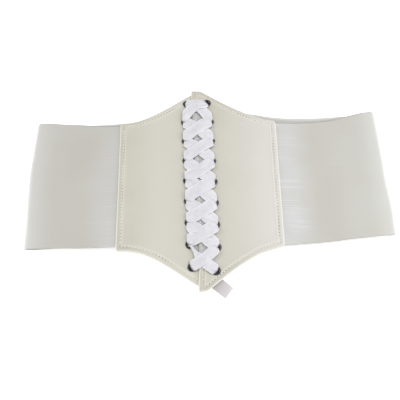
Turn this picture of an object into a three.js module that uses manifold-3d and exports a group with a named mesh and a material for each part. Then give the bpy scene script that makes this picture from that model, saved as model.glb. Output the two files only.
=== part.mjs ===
// A wide elastic waist belt with a ribbon-laced front, closed into a loop and lying flat on its back.
// Units are millimetres: X runs across the belt, Y up its height, Z up from the surface it lies on.
import * as THREE from "three";
import { mergeVertices } from "three/addons/utils/BufferGeometryUtils.js";
import Module from "manifold-3d";

const wasm = await Module();
wasm.setup();

// Driving dimensions
const seamGap = 0.3; // clearance between pieces that are sewn or pressed together
const bandHeight = 126;
const bandThickness = 1.5;
const panelThickness = 1.6;
const panelCornerRadius = 3;
const lacingLean = 0.0267; // sideways drift of the lacing line for each millimetre of height
const lacingOffset = 0.35; // where the lacing line crosses the middle of the panels
const rightLevel = 15; // height of the right panel's middle surface in its level stretch
const topPeak = 98;
const bottomPeak = -104;
const hiddenTrim = { top: 1.6, bottom: 7 }; // the lapped-over end of the left panel is this much shorter
const flatZone = 23; // the eyelets stand in the level stretch up to this distance
const panelStations = [5.5, 9.5, 14, 20, 30, 37, 44, 51, 58, 64]; // distances of a panel's sections
const cornerShares = [1, 0.6, 0.3, 0.08, 0]; // and its last ones, as shares of the corner radius

// Front panels, by distance d from the lacing line: halfWidth is the outer edge and lap the reach past
// the line. Each edge curve starts level with its peak at the distance start, and heights gives the
// curve a third and two thirds of the way out, and at the corner.
const panelForm = {
  left: {
    sign: -1,
    halfWidth: 76.8,
    lap: 3.2,
    top: { start: 0, heights: [85.1, 60, 64] },
    bottom: { start: 0, heights: [-85.9, -65, -66.3] },
    level: rightLevel - panelThickness - seamGap,
    crest: 1,
    drop: 0.35,
  },
  right: {
    sign: 1,
    halfWidth: 73,
    lap: 5.6,
    top: { start: 3, heights: [83.6, 64.2, 63.6] },
    bottom: { start: -3.6, heights: [-82, -70.2, -63.9] },
    level: rightLevel,
    crest: 0,
    drop: 2.25,
  },
};

// Eyelets: reach is the distance from the lacing line to a centre, less by the tucks in the end rows
const rowCount = 9;
const eyeletRows = {
  left: { reach: 13, first: 83.6, pitch: 20.75, tucks: { first: 2.5, last: 1.2 } },
  right: { reach: 10.8, first: 83, pitch: 21.2, tucks: { first: 1.8, last: 1.8 } },
};
const eyelet = { bore: 2.45, tube: 2.8, flange: 4.1, washer: 3.9, frontRise: 0.6, backRise: 0.5 };
const eyeletSeat = 0.2; // gap between a flange and the panel
const eyeletSides = 14;

// Lace ribbon
const ribbon = { width: 11.5, thickness: 1, gathered: 2.4, barWidth: 7.4, barRise: 1.1 };
const bendStart = 2.6; // distance from an eyelet's centre at which the ribbon turns into the hole
const slots = {
  inner: { offset: 1.15, layer: 0 },
  outer: { offset: -0.15, layer: 1 },
};
const layerStep = 1.6; // height between the two layers of crossing ribbon
const frontLift = 1.6; // ribbon's middle above the panel where it passes over a flange
const backLift = 1.5; // the same under the panel
const camber = 1.1; // how far a strand arches between its eyelets
const gatherLength = 6.5;
const strandShares = [0.09, 0.22, 0.36, 0.5, 0.64, 0.78, 0.91]; // a strand's stations between its bends

// Front crossings from the top down: each is raised from midway between its rows, and has its own width
const crossings = [
  { rise: 5, width: 9 },
  { rise: 2.4, width: 11.5 },
  { rise: 1.6, width: 10 },
  { rise: -0.4, width: 11.3 },
  { rise: 2, width: 11.5 },
  { rise: 0.4, width: 11.5 },
  { rise: 0.2, width: 11.5 },
  { rise: -4, width: 10.4 },
];

// Back closure
const closure = { x: 16.5, y: 16.5, width: 45, height: 128, thickness: 1.5, corner: 3 };
const elasticEndGap = 1; // half the gap between the two elastic ends over the closure
const rampTop = closure.thickness + seamGap + bandThickness / 2;
const onSurface = bandThickness / 2;

// Middle line of each elastic, from under its panel, round the fold and back to the closure.
// The height of the stretched front layer is given where it differs from bandHeight.
const leftElasticPath = [
  { x: -66, y: 0.7, z: 11.1, height: 124.3 },
  { x: -76, y: 0.7, z: 10.8, height: 124.3 },
  { x: -92, y: 0.8, z: 9.2, height: 124.2 },
  { x: -108, y: 1.3, z: 8.2, height: 124.9 },
  { x: -124, y: 1.8, z: 7.9, height: 125.6 },
  { x: -140, y: 2.3, z: 8, height: 126.9 },
  { x: -150.1, y: 2.7, z: 7.6, height: 127.5 },
  { x: -157.1, y: 3.1, z: 6.2, height: 127.5 },
  { x: -159.4, y: 3.3, z: 4.2, height: 127.2 },
  { x: -156.6, y: 3.5, z: 2.2, height: 126.8 },
  { x: -148.3, y: 3.7, z: 1, height: 126.4 },
  { x: -133, y: 4.4, z: onSurface },
  { x: -102, y: 6.1, z: onSurface },
  { x: -76, y: 7.6, z: onSurface },
  { x: -60, y: 9.2, z: onSurface },
  { x: -42, y: 12.2, z: onSurface },
  { x: closure.x - 36, y: 15.2, z: onSurface },
  { x: closure.x - 29.5, y: 15.8, z: 1.5 },
  { x: closure.x - 24, y: 16.2, z: rampTop },
  { x: closure.x - elasticEndGap, y: closure.y, z: rampTop },
];
const rightElasticPath = [
  { x: 64, y: -0.4, z: 11.5, height: 125.4 },
  { x: 73, y: -0.4, z: 10.9, height: 125.4 },
  { x: 92, y: 0.6, z: 9.2, height: 124 },
  { x: 112, y: 2, z: 8.2, height: 123.3 },
  { x: 133, y: 4.7, z: 7.9, height: 124.2 },
  { x: 151, y: 7.5, z: 8, height: 126 },
  { x: 162.5, y: 9.4, z: 7.6, height: 127.3 },
  { x: 170.4, y: 10.8, z: 6.2, height: 127.8 },
  { x: 172.8, y: 11.2, z: 4.2, height: 127.6 },
  { x: 169.9, y: 11, z: 2.2, height: 127 },
  { x: 161.5, y: 11.2, z: 1, height: 126.5 },
  { x: 145, y: 11.1, z: onSurface },
  { x: 120, y: 9.8, z: onSurface },
  { x: 97, y: 9.7, z: onSurface },
  { x: 82, y: 10.4, z: onSurface },
  { x: 72, y: 11.5, z: onSurface },
  { x: 63, y: 13.3, z: onSurface },
  { x: closure.x + 36, y: 15.6, z: onSurface },
  { x: closure.x + 29.5, y: 16.3, z: 1.5 },
  { x: closure.x + 24, y: 16.5, z: rampTop },
  { x: closure.x + elasticEndGap, y: closure.y, z: rampTop },
];
const stepsPerPoint = 3;
const foldLean = { left: 0, right: -0.0246, from: 80, to: 150 }; // sideways drift of a fold with its height

// Materials
const leather = new THREE.MeshStandardMaterial({ color: 0xddd8cb, roughness: 0.5, metalness: 0 });
const elastic = new THREE.MeshStandardMaterial({ color: 0xd6d4cd, roughness: 0.75, metalness: 0 });
const satin = new THREE.MeshStandardMaterial({ color: 0xf1f0f5, roughness: 0.35, metalness: 0 });
const nickel = new THREE.MeshStandardMaterial({ color: 0x9a9a9c, roughness: 0.3, metalness: 1 });

// Four corners of a flat section, anticlockwise as seen from ahead of the direction of travel
function section(centre, widthDirection, travel, width, thickness) {
  const across = widthDirection.clone().multiplyScalar(width / 2);
  const through = travel.clone().cross(widthDirection).normalize().multiplyScalar(thickness / 2);
  return [
    centre.clone().add(across).sub(through),
    centre.clone().add(across).add(through),
    centre.clone().sub(across).add(through),
    centre.clone().sub(across).sub(through),
  ];
}

// A closed solid through a row of four-cornered sections
function loft(rings) {
  const positions = rings.flat().flatMap((p) => [p.x, p.y, p.z]);
  const faces = [0, 2, 1, 0, 3, 2];
  for (let k = 0; k < rings.length - 1; k++) {
    for (let j = 0; j < 4; j++) {
      const [a, b] = [4 * k + j, 4 * k + ((j + 1) % 4)];
      faces.push(a, b, b + 4, a, b + 4, a + 4);
    }
  }
  const last = 4 * (rings.length - 1);
  faces.push(last, last + 1, last + 2, last, last + 2, last + 3);
  const geometry = new THREE.BufferGeometry();
  geometry.setAttribute("position", new THREE.Float32BufferAttribute(positions, 3));
  geometry.setIndex(faces);
  return geometry;
}

// Direction of travel at each point of a row of points
function travelAt(points, k) {
  const before = points[Math.max(k - 1, 0)];
  const after = points[Math.min(k + 1, points.length - 1)];
  return after.clone().sub(before).normalize();
}

function toSolid(geometry) {
  const bare = geometry.clone();
  bare.deleteAttribute("normal");
  bare.deleteAttribute("uv");
  const merged = mergeVertices(bare, 1e-4);
  return new wasm.Manifold(
    new wasm.Mesh({
      numProp: 3,
      vertProperties: merged.attributes.position.array,
      triVerts: new Uint32Array(merged.index.array),
    }),
  );
}

function toGeometry(solid) {
  const mesh = solid.getMesh();
  const geometry = new THREE.BufferGeometry();
  geometry.setAttribute("position", new THREE.Float32BufferAttribute(mesh.vertProperties, 3));
  geometry.setIndex(Array.from(mesh.triVerts));
  return geometry;
}

// The lacing line leans, so its place across the belt depends on the height
function lacingLine(y) {
  return lacingOffset - lacingLean * y;
}

function eyeletPlace(side, row) {
  const { reach, first, pitch, tucks } = eyeletRows[side];
  const tuck = { 1: tucks.first, [rowCount]: tucks.last }[row] ?? 0;
  return { x: panelForm[side].sign * (reach - tuck), y: first - pitch * (row - 1) };
}

// Front panels, in terms of the distance d from the lacing line
function edgeHeight(edge, halfWidth, peak, d) {
  const share = Math.max(d - edge.start, 0) / (halfWidth - edge.start);
  const [third, twoThirds, corner] = edge.heights;
  return new THREE.CubicBezierCurve(
    new THREE.Vector2(0, peak),
    new THREE.Vector2(1 / 3, third),
    new THREE.Vector2(2 / 3, twoThirds),
    new THREE.Vector2(1, corner),
  ).getPoint(share).y;
}

function panelHeight(side, d) {
  const { halfWidth, level, crest, drop } = panelForm[side];
  const s = Math.max(0, (d - flatZone) / (halfWidth - flatZone));
  return level + crest * Math.sin(Math.PI * s) ** 2 - drop * s * s;
}

function panelPoint(side, d, y, z) {
  const { sign, halfWidth } = panelForm[side];
  const leanShare = 1 - d / halfWidth;
  return new THREE.Vector3(sign * d + lacingLine(y) * leanShare, y, z);
}

// Shortening of a panel's edge where its outer corner is rounded
function cornerTrim(distance) {
  const inside = Math.max(0, panelCornerRadius - distance);
  return panelCornerRadius - Math.sqrt(panelCornerRadius ** 2 - inside ** 2);
}

function panelGeometry(side) {
  const { halfWidth, lap, top: topEdge, bottom: bottomEdge } = panelForm[side];
  const starts = [bottomEdge.start, topEdge.start].filter((start) => start !== 0);
  const distances = [-lap, 0, ...starts, flatZone, ...panelStations];
  for (const share of cornerShares) distances.push(halfWidth - panelCornerRadius * share);
  distances.sort((a, b) => (side === "left" ? b - a : a - b));
  const half = panelThickness / 2;
  const rings = distances.map((d) => {
    const trim = cornerTrim(halfWidth - d);
    const hidden = side === "left" && d <= 0 ? hiddenTrim : { top: 0, bottom: 0 };
    const top = edgeHeight(topEdge, halfWidth, topPeak, d) - trim - hidden.top;
    const bottom = edgeHeight(bottomEdge, halfWidth, bottomPeak, d) + trim + hidden.bottom;
    const z = panelHeight(side, d);
    return [
      panelPoint(side, d, top, z - half),
      panelPoint(side, d, top, z + half),
      panelPoint(side, d, bottom, z + half),
      panelPoint(side, d, bottom, z - half),
    ];
  });
  let solid = toSolid(loft(rings));
  const punch = new THREE.CylinderGeometry(eyelet.tube + seamGap, eyelet.tube + seamGap, 8, eyeletSides);
  punch.rotateX(Math.PI / 2);
  for (let row = 1; row <= rowCount; row++) {
    const { x, y } = eyeletPlace(side, row);
    const hole = toSolid(punch).translate(x + lacingLine(y), y, panelForm[side].level);
    solid = solid.subtract(hole);
  }
  return toGeometry(solid);
}

// Elastics: a band swept along its path, its edges kept level with the belt's height
function elasticGeometry(path, lean) {
  const curve = new THREE.CatmullRomCurve3(path.map((p) => new THREE.Vector3(p.x, p.y, p.z)));
  const points = curve.getPoints((path.length - 1) * stepsPerPoint);
  for (const p of points) p.z = Math.max(p.z, onSurface);
  const rings = points.map((p, k) => {
    const travel = travelAt(points, k).setY(0).normalize();
    const place = k / stepsPerPoint;
    const [before, after] = [path[Math.floor(place)], path[Math.ceil(place)]];
    const heights = [before.height ?? bandHeight, after.height ?? bandHeight];
    const height = THREE.MathUtils.lerp(...heights, place % 1);
    const leanShare = THREE.MathUtils.smoothstep(Math.abs(p.x), foldLean.from, foldLean.to);
    const up = new THREE.Vector3(lean * leanShare, 1, 0);
    return section(p, up, travel, height, bandThickness);
  });
  return loft(rings);
}

// Eyelets: a tube through the panel with a rounded rim in front and a flat washer behind
function eyeletGeometry() {
  const half = panelThickness / 2 + eyeletSeat;
  const [front, back] = [half + eyelet.frontRise, half + eyelet.backRise];
  const { bore, tube, flange, washer } = eyelet;
  const profile = [
    [bore, -back],
    [washer, -back],
    [washer, -half],
    [tube, -half],
    [tube, half],
    [flange, half],
    [flange - 0.5, front],
    [bore + 0.4, front],
    [bore, front - 0.3],
    [bore, -back],
  ].map(([r, h]) => new THREE.Vector2(r, h));
  return new THREE.LatheGeometry(profile, eyeletSides).rotateX(Math.PI / 2);
}

// Closure: one plain strip that both elastic ends are sewn to
function closureGeometry() {
  const { width, height, thickness, corner } = closure;
  const [w, h] = [width / 2, height / 2];
  const outline = new THREE.Shape();
  outline.moveTo(-w + corner, -h);
  outline.lineTo(w - corner, -h);
  outline.absarc(w - corner, -h + corner, corner, -Math.PI / 2, 0);
  outline.absarc(w - corner, h - corner, corner, 0, Math.PI / 2);
  outline.absarc(-w + corner, h - corner, corner, Math.PI / 2, Math.PI);
  outline.absarc(-w + corner, -h + corner, corner, Math.PI, 1.5 * Math.PI);
  return new THREE.ExtrudeGeometry(outline, { depth: thickness, bevelEnabled: false, curveSegments: 4 });
}

// Height of the ribbon's middle over the panels, by face and layer, at distance x from the lacing line
function ribbonHeight(face, layer, x) {
  const [from, to] = [bendStart - eyeletRows.left.reach, eyeletRows.right.reach - bendStart];
  const t = THREE.MathUtils.clamp((x - from) / (to - from), 0, 1);
  const out = face === "front" ? 1 : -1;
  const lift = face === "front" ? frontLift : backLift;
  const surface = THREE.MathUtils.lerp(panelForm.left.level, panelForm.right.level, t);
  return surface + out * (panelThickness / 2 + lift + layerStep * layer + camber * Math.sin(Math.PI * t));
}

// Stops of the ribbon from one row to another, changing sides at each row
function pass(fromRow, toRow, firstSide, slot) {
  const step = Math.sign(toRow - fromRow);
  const stops = [];
  let side = firstSide;
  for (let row = fromRow; row !== toRow + step; row += step) {
    stops.push({ side, row, slot });
    side = side === "left" ? "right" : "left";
  }
  return stops;
}

// One ribbon laced up, down, up and down again: front and back strands take turns
const stops = [
  ...pass(rowCount - 1, 1, "right", "inner"),
  ...pass(1, rowCount - 1, "right", "outer"),
  ...pass(rowCount, 1, "right", "inner"),
  ...pass(1, rowCount, "left", "outer"),
];

function slotPlace(stop) {
  const centre = eyeletPlace(stop.side, stop.row);
  const sign = panelForm[stop.side].sign;
  const { offset, layer } = slots[stop.slot];
  return {
    sign,
    layer,
    x: centre.x - sign * offset,
    y: centre.y,
    bendX: centre.x - sign * bendStart,
    radius: bendStart - offset,
  };
}

// The quarter turn between an eyelet's hole and the run towards another point of the panel
function bend(place, face, towards) {
  const out = face === "front" ? 1 : -1;
  const level = ribbonHeight(face, place.layer, place.bendX);
  const slope = (towards.y - place.y) / (towards.x - place.x);
  const direction = new THREE.Vector2(-slope, 1).normalize();
  return [0, 30, 60, 90].map((degrees) => {
    const angle = THREE.MathUtils.degToRad(degrees);
    const x = place.bendX + place.sign * place.radius * Math.cos(angle);
    const y = place.y + slope * (x - place.x);
    const z = level - out * place.radius * (1 - Math.sin(angle));
    return { x, y, z, run: Math.abs(x - place.x), direction };
  });
}

// How far the ribbon has opened from its gathered width, by its distance from the hole
function opened(run) {
  return THREE.MathUtils.smoothstep(run, -0.5, gatherLength);
}

// Middle rise and full width of a strand: a level bar, a crossing in front, or a plain strand behind
function strandForm(from, to, face) {
  if (from.row === to.row) return { rise: ribbon.barRise, width: ribbon.barWidth };
  if (face === "back") return { rise: 0, width: ribbon.width };
  return crossings[Math.min(from.row, to.row) - 1];
}

// A strand between two eyelets, on the front or the back of the panels
function strand(from, to, face) {
  const [a, b] = [slotPlace(from), slotPlace(to)];
  const start = bend(a, face, b);
  const end = bend(b, face, a).reverse();
  const { rise, width } = strandForm(from, to, face);
  const stations = [...start];
  for (const t of strandShares) {
    const x = THREE.MathUtils.lerp(a.bendX, b.bendX, t);
    const y = THREE.MathUtils.lerp(start[3].y, end[0].y, t) + rise * Math.sin(Math.PI * t);
    const layer = THREE.MathUtils.lerp(a.layer, b.layer, t);
    const run = Math.min(Math.abs(x - a.x), Math.abs(x - b.x));
    stations.push({ x, y, z: ribbonHeight(face, layer, x), run, direction: start[0].direction });
  }
  stations.push(...end);
  return stations.map((s) => ({ ...s, face, width }));
}

// Free ends: a short stub behind the right panel and the tail below it
const tailPath = [
  { x: 1, y: -90.4, z: 9.1 },
  { x: 8, y: -93.8, z: 9.2 },
  { x: 14, y: -97.4, z: 8.9 },
  { x: 19, y: -101, z: 7.9 },
  { x: 23.6, y: -104.4, z: 6.2 },
];
const stubLength = 7;

function stub() {
  const place = slotPlace(stops[0]);
  const towards = slotPlace({ side: "left", row: rowCount, slot: "inner" });
  const turn = bend(place, "back", towards);
  const slope = (towards.y - place.y) / (towards.x - place.x);
  const x = place.bendX - place.sign * stubLength;
  const y = place.y + slope * (x - place.x);
  const tip = { ...turn[3], x, y, z: ribbonHeight("back", place.layer, x), run: gatherLength };
  return [tip, ...turn.reverse()].map((s) => ({ ...s, face: "back", width: ribbon.width }));
}

function tail() {
  const place = slotPlace(stops.at(-1));
  const turn = bend(place, "back", tailPath[1]);
  const last = tailPath.at(-1);
  const before = tailPath.at(-2);
  const direction = new THREE.Vector2(before.y - last.y, last.x - before.x).normalize();
  const free = tailPath.map((p) => ({ ...p, run: gatherLength, direction }));
  return [...turn, ...free].map((s) => ({ ...s, face: "back", width: ribbon.width, level: true }));
}

function ribbonGeometry() {
  const stations = [...stub()];
  for (let k = 0; k < stops.length - 1; k++) {
    stations.push(...strand(stops[k], stops[k + 1], k % 2 === 0 ? "front" : "back"));
  }
  stations.push(...tail());
  const points = stations.map((s) => new THREE.Vector3(s.x, s.y, s.z));
  const rings = stations.map((s, k) => {
    const share = opened(s.run);
    const across = new THREE.Vector3(s.direction.x * share, THREE.MathUtils.lerp(1, s.direction.y, share), 0);
    const width = THREE.MathUtils.lerp(ribbon.gathered, s.width, share);
    const ring = section(points[k], across.normalize(), travelAt(points, k), width, ribbon.thickness);
    for (const corner of ring) {
      if (!s.level) corner.z += ribbonHeight(s.face, 0, corner.x) - ribbonHeight(s.face, 0, s.x);
      corner.x += lacingLine(corner.y);
    }
    return ring;
  });
  return loft(rings);
}

// The belt
const belt = new THREE.Group();

function add(name, geometry, material, place = new THREE.Vector3()) {
  const mesh = new THREE.Mesh(geometry, material);
  mesh.name = name;
  mesh.position.copy(place);
  belt.add(mesh);
}

add("left_elastic", elasticGeometry(leftElasticPath, foldLean.left), elastic);
add("right_elastic", elasticGeometry(rightElasticPath, foldLean.right), elastic);
add("back_closure", closureGeometry(), leather, new THREE.Vector3(closure.x, closure.y, 0));
add("left_front_panel", panelGeometry("left"), leather);
add("right_front_panel", panelGeometry("right"), leather);
for (const side of ["left", "right"]) {
  for (let row = 1; row <= rowCount; row++) {
    const { x, y } = eyeletPlace(side, row);
    const place = new THREE.Vector3(x + lacingLine(y), y, panelForm[side].level);
    add(`${side}_eyelet_${row}`, eyeletGeometry(), nickel, place);
  }
}
add("lace_ribbon", ribbonGeometry(), satin);

// The origin is the middle of the belt's outline, on the surface it lies on
const bounds = new THREE.Box3().setFromObject(belt, true);
const middle = bounds.getCenter(new THREE.Vector3());
belt.position.set(-middle.x, -middle.y, -bounds.min.z);

export default belt;
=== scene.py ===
"""Wide elastic waist belt with a ribbon-laced front, lying flat on a white table.

Lengths are metres in the belt's own frame: X across the belt, Y up its height, Z up from the table.
Places come from the solids of the belt's frame; sizes and colours come from the settings and the named
values below.
"""

import functools
import math
from types import SimpleNamespace

import bpy
import numpy as np
from mathutils import Matrix, Vector, noise


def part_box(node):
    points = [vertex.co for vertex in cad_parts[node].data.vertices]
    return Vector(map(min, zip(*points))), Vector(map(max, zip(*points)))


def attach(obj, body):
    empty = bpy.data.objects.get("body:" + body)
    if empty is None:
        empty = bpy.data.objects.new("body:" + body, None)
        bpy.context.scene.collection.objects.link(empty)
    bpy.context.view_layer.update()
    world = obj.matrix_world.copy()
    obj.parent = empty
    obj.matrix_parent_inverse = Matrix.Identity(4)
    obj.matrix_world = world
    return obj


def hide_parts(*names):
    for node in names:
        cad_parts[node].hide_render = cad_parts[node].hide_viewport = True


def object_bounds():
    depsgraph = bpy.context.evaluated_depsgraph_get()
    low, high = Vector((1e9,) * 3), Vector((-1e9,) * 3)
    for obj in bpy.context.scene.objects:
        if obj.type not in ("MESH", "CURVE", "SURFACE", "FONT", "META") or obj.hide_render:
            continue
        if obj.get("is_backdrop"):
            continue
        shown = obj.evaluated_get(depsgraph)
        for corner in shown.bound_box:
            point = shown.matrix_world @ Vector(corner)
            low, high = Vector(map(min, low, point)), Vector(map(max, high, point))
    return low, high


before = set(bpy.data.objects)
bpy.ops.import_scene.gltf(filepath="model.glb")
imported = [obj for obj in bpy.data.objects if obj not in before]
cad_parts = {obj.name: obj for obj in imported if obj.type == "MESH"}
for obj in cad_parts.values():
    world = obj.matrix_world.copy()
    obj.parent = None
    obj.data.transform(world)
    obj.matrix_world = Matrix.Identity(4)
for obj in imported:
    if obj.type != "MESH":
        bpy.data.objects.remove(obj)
solid_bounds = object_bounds()

bl_info = {
    "name": "Wide elastic waist belt",
    "version": (1, 0, 0),
    "blender": (4, 2, 0),
    "location": "View3D > Sidebar > Belt",
    "description": "Builds the visible cloth, stitching, ribbon and stage around the belt's solids",
    "category": "Object",
}

SIDES = {"left": -1, "right": 1}
ROWS = 9
MM = 0.001

# A distance well outside the belt, where rays start, and the least length that is divided by
OUTSIDE = 1.0
TINY = 1e-12


def length_setting(name, default, description):
    return bpy.props.FloatProperty(name=name, description=description, default=default, unit="LENGTH")


def angle_setting(name, degrees, description):
    return bpy.props.FloatProperty(
        name=name, description=description, default=math.radians(degrees), subtype="ANGLE"
    )


def plain_setting(name, default, description):
    return bpy.props.FloatProperty(name=name, description=description, default=default)


def colour_setting(name, default, description):
    return bpy.props.FloatVectorProperty(
        name=name, description=description, default=default, subtype="COLOR"
    )


class LeatherSettings(bpy.types.PropertyGroup):
    """Sizes and colours of the coated front panels and the back closure."""

    thickness: length_setting("Thickness", 1.6 * MM, "Thickness of a panel, its folded hem included")
    lap: length_setting("Lap", 5.6 * MM, "How far the right panel reaches past the lacing line")
    tuck_top: length_setting(
        "Tuck at the top", 1.6 * MM, "How much shorter the lapped end of the left panel is at the top"
    )
    tuck_bottom: length_setting(
        "Tuck at the bottom", 7 * MM, "How much shorter the lapped end of the left panel is at the bottom"
    )
    corner: length_setting("Corner", 3 * MM, "Radius of a panel's outer corners")
    hem: length_setting("Hem", 6.6 * MM, "Width of the folded hem")
    inset: length_setting("Stitch inset", 3.9 * MM, "Distance from an edge to its line of stitches")
    pitch: length_setting("Stitch pitch", 3.1 * MM, "Length of one stitch")
    thread: length_setting("Thread", 0.65 * MM, "Thickness of the sewing thread")
    colour: colour_setting("Leather", (0.56, 0.54, 0.47), "Ivory coating")
    # Painted highlight: paler, whiter coating towards the right panel's outer edge
    highlight_colour: colour_setting("Leather highlight", (0.6, 0.573, 0.543), "Coating where it has paled")
    laced_colour: colour_setting(
        "Laced leather", (0.45, 0.45, 0.445), "Coating seen in the shade between the crossings"
    )
    thread_colour: colour_setting("Thread colour", (0.88, 0.86, 0.8), "Sewing thread")


class ElasticSettings(bpy.types.PropertyGroup):
    """Sizes and colours of the two elastic bands."""

    thickness: length_setting("Thickness", 1.4 * MM, "Thickness of the elastic")
    rib: length_setting("Rib pitch", 2.4 * MM, "Distance between two ribs")
    groove: length_setting("Groove", 0.09 * MM, "Depth between the ribs")
    ribbed: length_setting(
        "Ribbed length", 46 * MM, "Distance from a front panel over which the gathered ribs fade out"
    )
    lift_depth: length_setting("Lift depth", 20 * MM, "How far down the band the edge curves")
    # Where the middle of each band is painted darker and yellower
    darker_middle_place: length_setting("Darker middle place", 48 * MM, "Distance from the seam to the yellowed middle")
    darker_middle_length: length_setting("Darker middle length", 22 * MM, "Half length of the yellowed middle")
    # Painted highlight: bluish white on the ribbed part near the seams
    seam_highlight_colour: colour_setting(
        "Elastic seam highlight", (0.572, 0.568, 0.578), "Bluish white of the yarn near the seams"
    )
    colour: colour_setting("Elastic", (0.5, 0.495, 0.46), "Off-white yarn")


class RibbonSettings(bpy.types.PropertyGroup):
    """Sizes and colour of the lace ribbon."""

    thickness: length_setting("Thickness", 0.4 * MM, "Thickness of the ribbon")
    gathered: length_setting("Gathered width", 6.4 * MM, "Width where it is drawn through an eyelet")
    opening: length_setting(
        "Opening length", 5.2 * MM, "Distance from an eyelet at which the ribbon has its full width"
    )
    layer: length_setting("Layer", 0.8 * MM, "Height between crossing strands")
    colour: colour_setting("Ribbon", (0.672, 0.664, 0.703), "Bluish white satin")


class EyeletSettings(bpy.types.PropertyGroup):
    """Colours of the nickel eyelets, darkened with painted shade and painted reflections."""

    # Painted shade and painted dark reflections make the nickel almost black
    colour: colour_setting("Nickel", (0.07, 0.068, 0.066), "Darkened nickel")
    smudged_colour: colour_setting("Smudged nickel", (0.15, 0.147, 0.144), "Nickel in its paler smudges")


class StageSettings(bpy.types.PropertyGroup):
    """Table, lights and camera."""

    distance: length_setting("Camera distance", 0.5385, "From the aim point")
    elevation: angle_setting("Elevation", 67, "Camera angle above the table")
    roll: angle_setting("Roll", 1.06, "Turn of the picture")
    lens: plain_setting("Lens", 51.57, "Focal length in millimetres")
    aim: bpy.props.FloatVectorProperty(
        name="Aim",
        description="Point of the table at the middle of the picture",
        default=(-8.76 * MM, -7.45 * MM, 0),
        subtype="TRANSLATION",
    )
    table: length_setting("Table", 6, "Width of the table")
    table_glow: plain_setting("Table glow", 0.45, "Light given off by the backlit table top")
    daylight: plain_setting("Daylight", 0.3, "Strength of the even light from all round")
    table_colour: colour_setting("Table colour", (0.96, 0.96, 0.96), "White table top")


# Measuring the frame


def eyelet_centre(side, row):
    low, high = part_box(f"{side}_eyelet_{row}")
    return (low + high) / 2


def eyelet_top(side):
    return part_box(f"{side}_eyelet_1")[1].z


def ray_meets(node, start, direction):
    """Where a ray first meets a solid, or None where it misses."""
    hit, place, _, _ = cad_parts[node].ray_cast(Vector(start), Vector(direction))
    return place if hit else None


@functools.lru_cache
def lacing_line():
    """Place and slope of the line that the front is laced along, from the right panel's inner edge."""
    node = "right_front_panel"
    low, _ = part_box(node)
    level = eyelet_centre("right", 1).z
    lap = bpy.context.scene.belt_leather.lap
    ys = [(eyelet_centre("right", row).y + eyelet_centre("right", row + 1).y) / 2 for row in (2, ROWS - 2)]
    xs = [ray_meets(node, (low.x - OUTSIDE, y, level), (1, 0, 0)).x + lap for y in ys]
    slope = (xs[1] - xs[0]) / (ys[1] - ys[0])
    return xs[0] - slope * ys[0], slope


def lacing_x(y):
    place, slope = lacing_line()
    return place + slope * np.asarray(y)


def top_profile(node, y, samples=60):
    """Places along X and heights there of a solid's upper surface, at one height of the belt."""
    low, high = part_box(node)
    xs = np.linspace(low.x, high.x, samples)
    places = [ray_meets(node, (x, y, high.z + OUTSIDE), (0, 0, -1)) for x in xs]
    return np.array([(x, place.z) for x, place in zip(xs, places) if place is not None]).T


# Shares of a panel's width at which its sloping edges are measured, and how far from its points they start
EDGE_SHARES = np.linspace(0.1, 0.93, 25)
POINT_FLAT = 0.2 * MM


def edge_curve(node, outer, direction, thickness):
    """Height of a panel's top (1) or bottom (-1) edge, by its share of the way out from the lacing line."""
    low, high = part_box(node)
    limit = high.y if direction > 0 else low.y
    xs, zs = top_profile(node, (low.y + high.y) / 2)
    shares, ys = [], []
    for aimed in EDGE_SHARES:
        x = lacing_x(0) + (outer - lacing_x(0)) * aimed
        z = np.interp(x, xs, zs) - thickness / 2
        place = ray_meets(node, (x, direction * OUTSIDE, z), (0, -direction, 0))
        if place is not None and abs(place.y - limit) > POINT_FLAT:
            shares.append((x - lacing_x(place.y)) / (outer - lacing_x(place.y)))
            ys.append(place.y)
    curve = np.polynomial.Polynomial.fit(shares, ys, 3)
    nearer = np.minimum if direction > 0 else np.maximum
    return lambda share: nearer(curve(share), limit)


def rim_line(node, face):
    """Middle of a band's upper (1) or lower (-1) rim, from its seam with the front panel to the back."""
    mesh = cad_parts[node].data
    owners, edges = {}, {}
    # A rim's faces look up or down the belt by this much, and its rungs across stay near the shortest one
    steep, longest = 0.6, 1.2
    for polygon in mesh.polygons:
        if polygon.normal.y * face > steep:
            corners = [tuple(round(c, 6) for c in mesh.vertices[i].co) for i in polygon.vertices]
            edges[polygon.index] = [frozenset(e) for e in zip(corners, corners[1:] + corners[:1])]
            for edge in edges[polygon.index]:
                owners.setdefault(edge, []).append(polygon.index)

    def ends(edge):
        return [Vector(corner) for corner in edge]

    def length(edge):
        return (ends(edge)[0] - ends(edge)[1]).length

    def shared(polygon):
        return [e for e in edges[polygon] if len(owners[e]) == 2]

    def rim(polygon):
        return min((e for e in edges[polygon] if len(owners[e]) == 1), key=length)

    last = [p for p in edges if len(shared(p)) == 1]
    start = max(last, key=lambda p: max(corner[2] for corner in rim(p)))
    polygon, rungs = start, [rim(start)]
    while True:
        ahead = [e for e in shared(polygon) if e not in rungs]
        if not ahead:
            break
        rungs.append(ahead[0])
        polygon = next(p for p in owners[ahead[0]] if p != polygon)
    rungs.append(rim(polygon))
    width = min(length(e) for e in rungs)
    middles = [sum(ends(e), Vector()) / 2 for e in rungs if length(e) < longest * width]
    return np.array(middles)


# Small mathematical helpers


def smoothstep(value, low, high):
    t = np.clip((np.asarray(value, float) - low) / (high - low), 0, 1)
    return t * t * (3 - 2 * t)


# How far one seed moves the pattern of soft_noise, in its own units
SEED_SHIFT = 7.3, 3.1, 5.7


def soft_noise(points, size, seed):
    """Smooth variation from -1 to 1 whose humps are about size across."""
    flat = points.reshape(-1, 3)
    shift = Vector([seed * step for step in SEED_SHIFT])
    values = [noise.noise(Vector(p) / size + shift) for p in flat]
    return np.array(values).reshape(points.shape[:-1])


def bell(value, middle, width):
    """A smooth hump of height 1."""
    return np.exp(-(((value - middle) / width) ** 2))


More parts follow.
